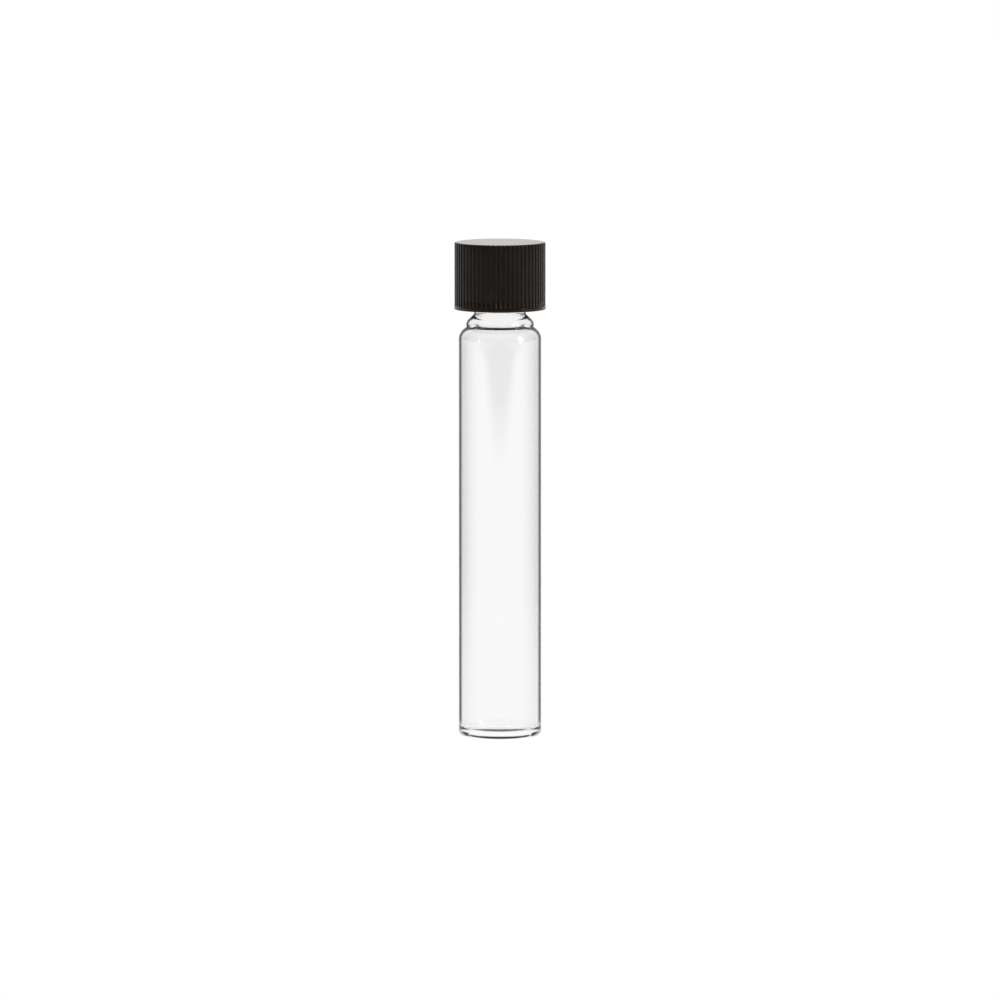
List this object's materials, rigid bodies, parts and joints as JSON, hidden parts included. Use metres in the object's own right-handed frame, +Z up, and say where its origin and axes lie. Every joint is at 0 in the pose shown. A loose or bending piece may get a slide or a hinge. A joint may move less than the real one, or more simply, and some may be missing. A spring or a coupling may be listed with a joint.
{
  "type": "gold sample vial",
  "caption": "Slim clear glass vial with a beaded shoulder, a narrow neck and a black ribbed screw cap, for keeping fine gold and small finds.",
  "frame": {"origin": "centre of the base, on the plane that the vial stands on", "axes": "+Z up along the vial's axis, from base to cap; X and Y are free, and the glass thread starts on +X"},
  "size_m": [0.0166, 0.0166, 0.09],
  "materials": {
    "clear_glass": "polished, faint cool tint at the edges",
    "black_plastic": "satin",
    "liner_foam": "fine closed-cell foam",
    "liner_film": "smooth film"
  },
  "bodies": {
    "vial": {"glass_vial": "clear_glass"},
    "liner": {"liner_backing": "liner_foam", "liner_facing": "liner_film"},
    "cap": {"screw_cap": "black_plastic"}
  },
  "joints": [
    {"name": "cap_lift", "type": "slide", "parent": "vial", "child": "liner", "axis": [0, 0, 1], "range_m": [0, 0.01482]},
    {"name": "cap_turn", "type": "hinge", "parent": "liner", "child": "cap", "pos_m": [0, 0, 0.0888], "axis": [0, 0, 1], "range_deg": [0, 2520]}
  ],
  "couplings": [
    {"joint": "cap_turn", "follows": "cap_lift", "rad_per_m": 2968.4}
  ]
}
